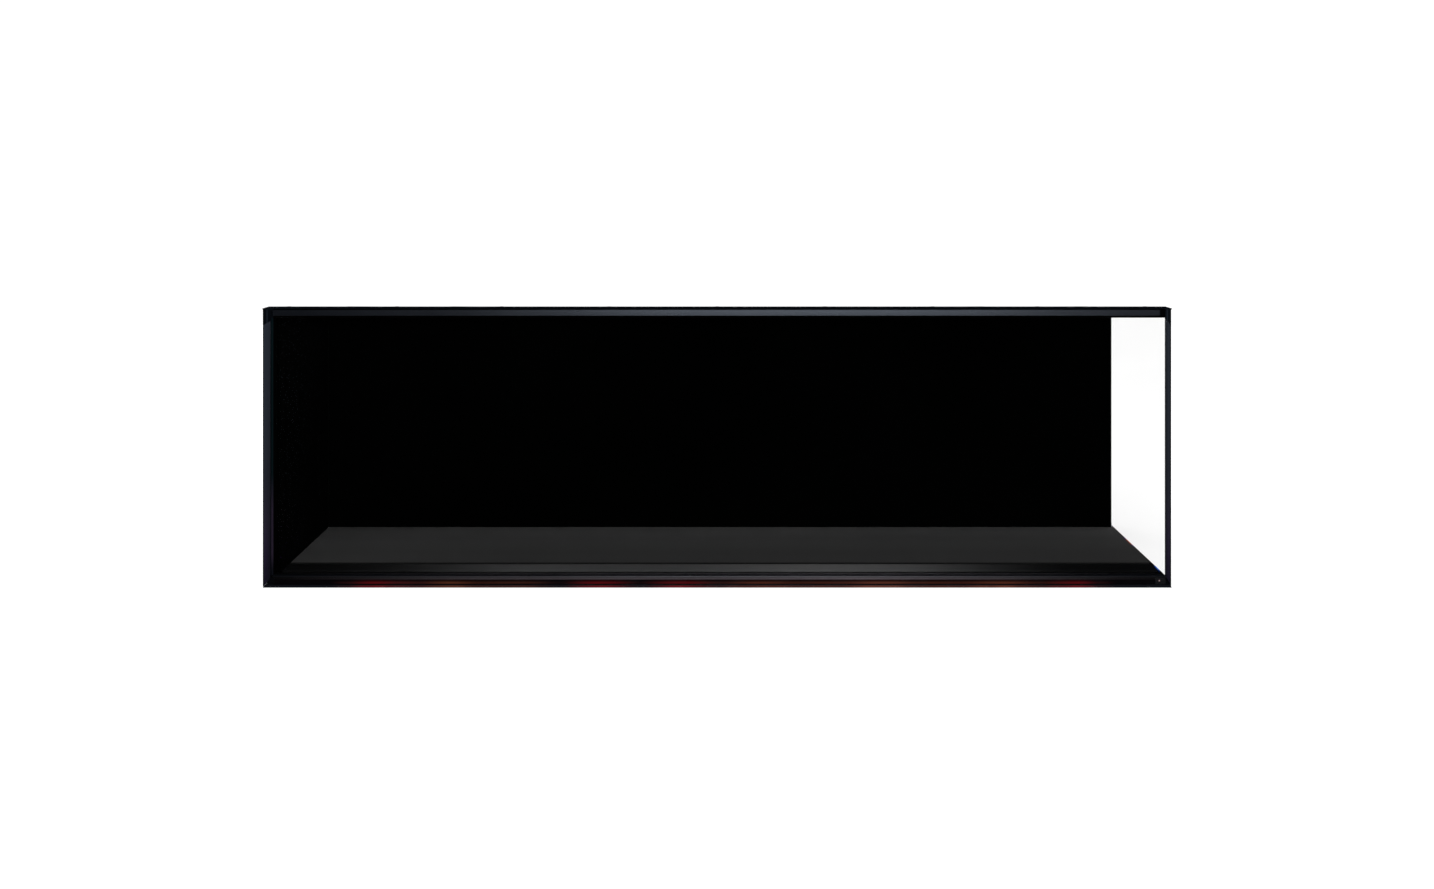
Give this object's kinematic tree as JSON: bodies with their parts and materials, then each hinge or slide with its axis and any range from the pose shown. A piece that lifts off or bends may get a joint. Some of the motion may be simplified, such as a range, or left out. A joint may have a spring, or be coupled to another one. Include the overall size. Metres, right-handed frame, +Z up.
{
  "type": "electric fireplace",
  "caption": "Wide two-sided built-in electric fireplace, glazed at the front and the right-hand end, with a warm-air blower and flame-effect rotor.",
  "frame": {"origin": "middle of the base in width and depth, on the surface it stands on", "axes": "+X to the right as seen from the room, +Y from the room into the wall, +Z up"},
  "size_m": [1.524, 0.332, 0.468],
  "materials": {
    "frame_black": "satin powder coat",
    "case_black": "matt black sheet steel",
    "liner_black": "dead black",
    "screen_black": "black flame screen",
    "tray_grey": "matt dark grey",
    "ledge_metal": "satin",
    "clear_glass": "clear, polished",
    "smoked_lens": "smoked, glossy",
    "rubber": "matt",
    "zinc": "zinc plated",
    "aluminium": "mill finish",
    "board_green": "solder resist",
    "board_white": "white",
    "black_plastic": "fine texture",
    "white_nylon": "natural"
  },
  "bodies": {
    "case": {"accent_led_strip": "board_white", "accent_lens": "smoked_lens", "base_pan": "case_black", "bay_end_wall": "liner_black", "blower_housing": "zinc", "blower_motor": "zinc", "button_board": "board_green", "cable_grommet": "rubber", "control_box": "zinc", "control_box_cover": "zinc", "duct_wall_left": "zinc", "duct_wall_right": "zinc", "ember_led_strip": "board_white", "firebox_ceiling": "liner_black", "flame_baffle": "zinc", "flame_led_bar": "board_white", "flame_screen": "screen_black", "front_bottom_rail": "frame_black", "front_glass_cushion": "rubber", "front_ledge": "ledge_metal", "front_top_rail": "frame_black", "heating_element": "aluminium", "ir_receiver": "black_plastic", "left_corner_cap": "frame_black", "left_front_stile": "frame_black", "left_liner": "liner_black", "left_side_panel": "case_black", "main_board": "board_green", "mains_cable": "black_plastic", "media_tray": "tray_grey", "power_supply": "black_plastic", "rear_panel": "case_black", "rear_screw_1": "zinc", "rear_screw_2": "zinc", "rear_screw_3": "zinc", "rear_screw_4": "zinc", "right_bay_panel": "case_black", "right_corner_cap": "frame_black", "right_corner_post": "frame_black", "roof_panel": "case_black", "rotor_bearing_centre": "white_nylon", "rotor_bearing_left": "white_nylon", "rotor_bearing_right": "white_nylon", "rotor_motor": "zinc", "screen_channel": "zinc", "side_bottom_rail": "frame_black", "side_glass": "clear_glass", "side_rear_stile": "frame_black", "side_top_rail": "frame_black", "terminal_block": "board_white", "thermal_cutout": "zinc", "top_vent_strip": "frame_black"},
    "flame_rotor": {"flame_rotor": "aluminium", "rotor_coupling": "rubber"},
    "blower_wheel": {"blower_wheel": "aluminium"},
    "front_glass": {"front_glass": "clear_glass"},
    "standby_button": {"standby_button": "black_plastic"},
    "flame_button": {"flame_button": "black_plastic"},
    "heater_button": {"heater_button": "black_plastic"},
    "mains_rocker": {"mains_rocker": "black_plastic"}
  },
  "joints": [
    {"name": "flame_rotor_spin", "type": "hinge", "parent": "case", "child": "flame_rotor", "pos_m": [0, 0.126, 0.062], "axis": [1, 0, 0], "continuous": true},
    {"name": "blower_spin", "type": "hinge", "parent": "case", "child": "blower_wheel", "pos_m": [0, 0.125, 0.374], "axis": [1, 0, 0], "continuous": true},
    {"name": "front_glass_lift", "type": "slide", "parent": "case", "child": "front_glass", "axis": [0, 0, 1], "range_m": [0, 0.0085]},
    {"name": "standby_press", "type": "slide", "parent": "case", "child": "standby_button", "axis": [0, 0, -1], "range_m": [0, 0.0012], "stiffness_N_per_m": 400, "springref_m": -0.001},
    {"name": "flame_press", "type": "slide", "parent": "case", "child": "flame_button", "axis": [0, 0, -1], "range_m": [0, 0.0012], "stiffness_N_per_m": 400, "springref_m": -0.001},
    {"name": "heater_press", "type": "slide", "parent": "case", "child": "heater_button", "axis": [0, 0, -1], "range_m": [0, 0.0012], "stiffness_N_per_m": 400, "springref_m": -0.001},
    {"name": "mains_rocker_tilt", "type": "hinge", "parent": "case", "child": "mains_rocker", "pos_m": [0.7, -0.1458, 0.4604], "axis": [0, 1, 0], "range_deg": [-16, 0]}
  ]
}
